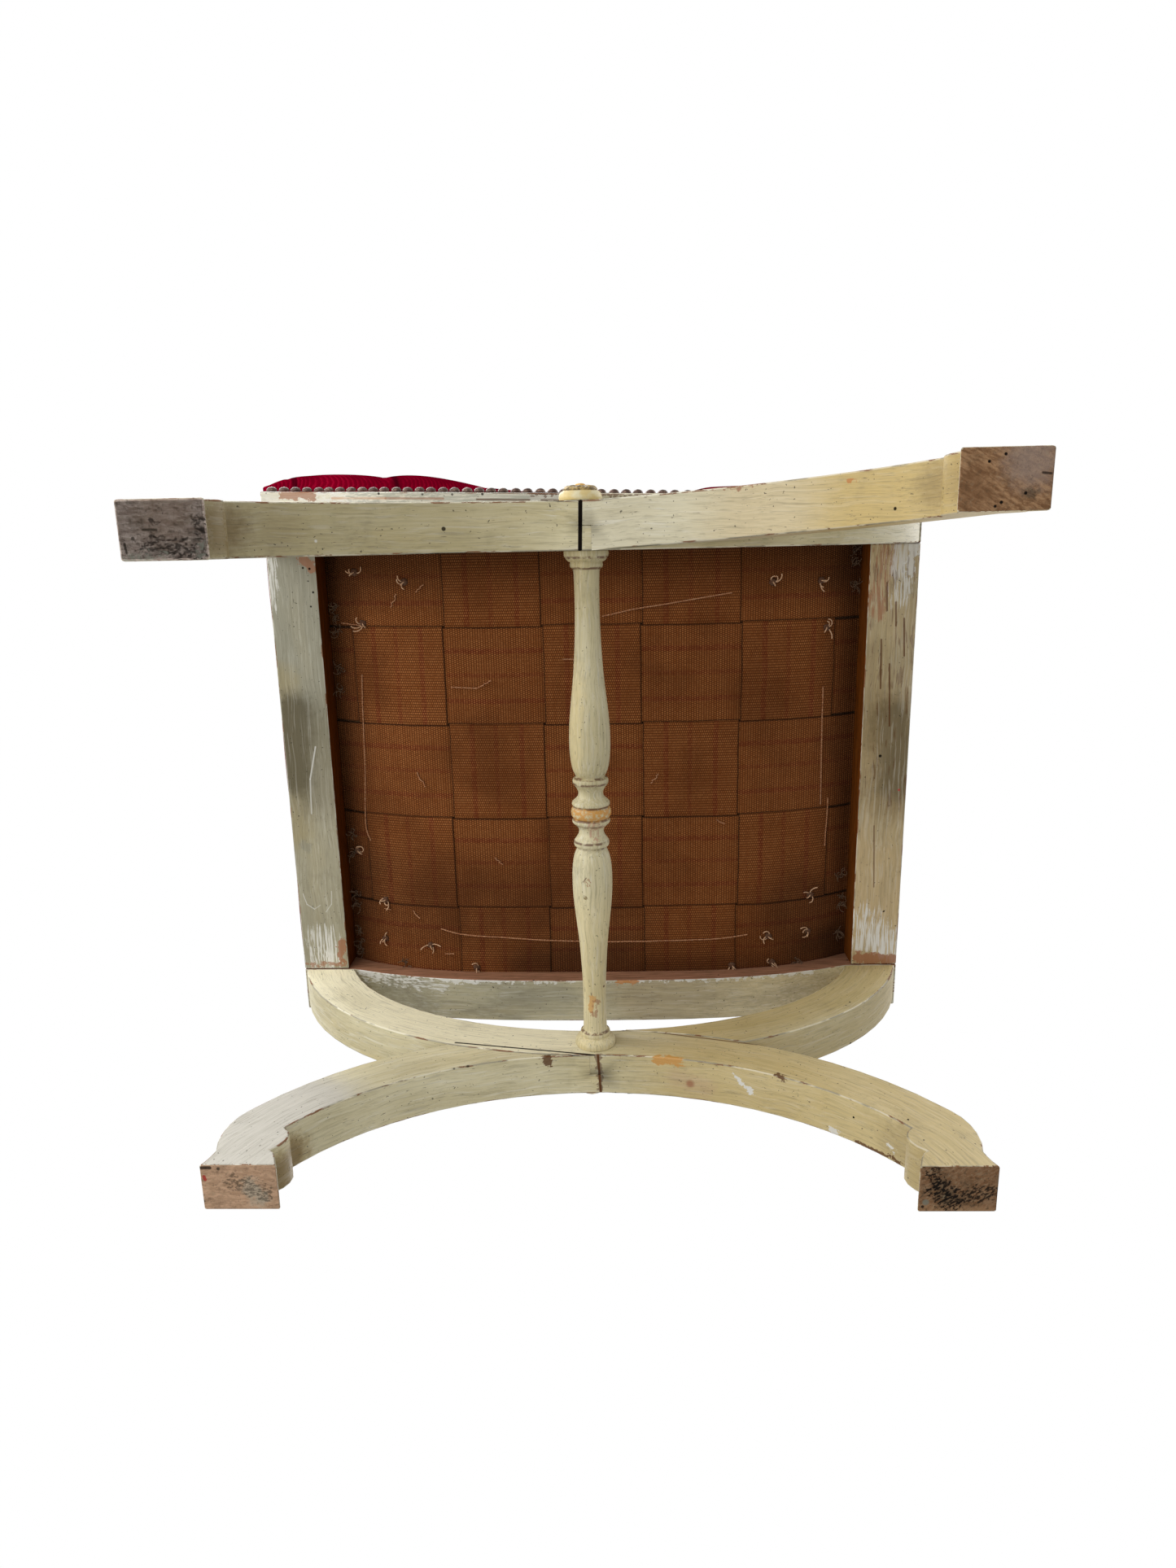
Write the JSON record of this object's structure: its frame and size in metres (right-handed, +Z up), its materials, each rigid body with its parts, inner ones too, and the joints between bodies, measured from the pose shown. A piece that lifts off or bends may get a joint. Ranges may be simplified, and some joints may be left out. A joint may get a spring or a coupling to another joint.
{
  "type": "curule stool",
  "caption": "Low X-frame stool in worn cream paint: S-curved legs halved at the crossings, turned stretcher, dished seat on interlaced webbing with a buttoned red velvet cover.",
  "frame": {"origin": "on the floor, under the middle of the seat", "axes": "+Z up; X along the seat, between its two high ends; the front X-frame, whose right foot has sprung outwards, faces -Y"},
  "size_m": [0.6026, 0.5262, 0.4196],
  "materials": {
    "painted_frame": "worn cream oil paint over gesso, brushed along the members",
    "painted_rails": "worn cream-grey paint, gesso scuffs and bare wood at the ends, bare inside",
    "painted_stretcher": "worn cream paint with traces of gilding on the middle ring",
    "rosettes": "cream paint with dark gilding on the raised disc and knob",
    "jute_webbing": "brown woven webbing with dark red stripes",
    "hessian": "plain open-weave hessian",
    "hair_pad": "dark curled hair stuffing",
    "red_velvet": "crimson velvet with a fine diagonal twill sheen",
    "velvet_buttons": "crimson velvet"
  },
  "bodies": {
    "root": {"front_left_leg": "painted_frame", "front_right_leg": "painted_frame", "back_left_leg": "painted_frame", "back_right_leg": "painted_frame", "front_seat_rail": "painted_rails", "back_seat_rail": "painted_rails", "left_side_rail": "painted_rails", "right_side_rail": "painted_rails", "stretcher": "painted_stretcher", "front_rosette": "rosettes", "back_rosette": "rosettes", "cross_webbing_1": "jute_webbing", "cross_webbing_2": "jute_webbing", "cross_webbing_3": "jute_webbing", "cross_webbing_4": "jute_webbing", "cross_webbing_5": "jute_webbing", "long_webbing_1": "jute_webbing", "long_webbing_2": "jute_webbing", "long_webbing_3": "jute_webbing", "long_webbing_4": "jute_webbing", "long_webbing_5": "jute_webbing", "hessian": "hessian", "hair_pad": "hair_pad", "velvet_seat": "red_velvet", "velvet_button_01": "velvet_buttons", "velvet_button_02": "velvet_buttons", "velvet_button_03": "velvet_buttons", "velvet_button_04": "velvet_buttons", "velvet_button_05": "velvet_buttons", "velvet_button_06": "velvet_buttons", "velvet_button_07": "velvet_buttons", "velvet_button_08": "velvet_buttons", "velvet_button_09": "velvet_buttons", "velvet_button_10": "velvet_buttons", "velvet_button_11": "velvet_buttons", "velvet_button_12": "velvet_buttons", "velvet_button_13": "velvet_buttons", "velvet_button_14": "velvet_buttons", "velvet_button_15": "velvet_buttons", "velvet_button_16": "velvet_buttons", "velvet_button_17": "velvet_buttons", "velvet_button_18": "velvet_buttons", "velvet_button_19": "velvet_buttons", "velvet_button_20": "velvet_buttons", "velvet_button_21": "velvet_buttons", "velvet_button_22": "velvet_buttons", "velvet_button_23": "velvet_buttons", "velvet_button_24": "velvet_buttons", "velvet_button_25": "velvet_buttons", "velvet_button_26": "velvet_buttons", "velvet_button_27": "velvet_buttons"}
  },
  "joints": []
}
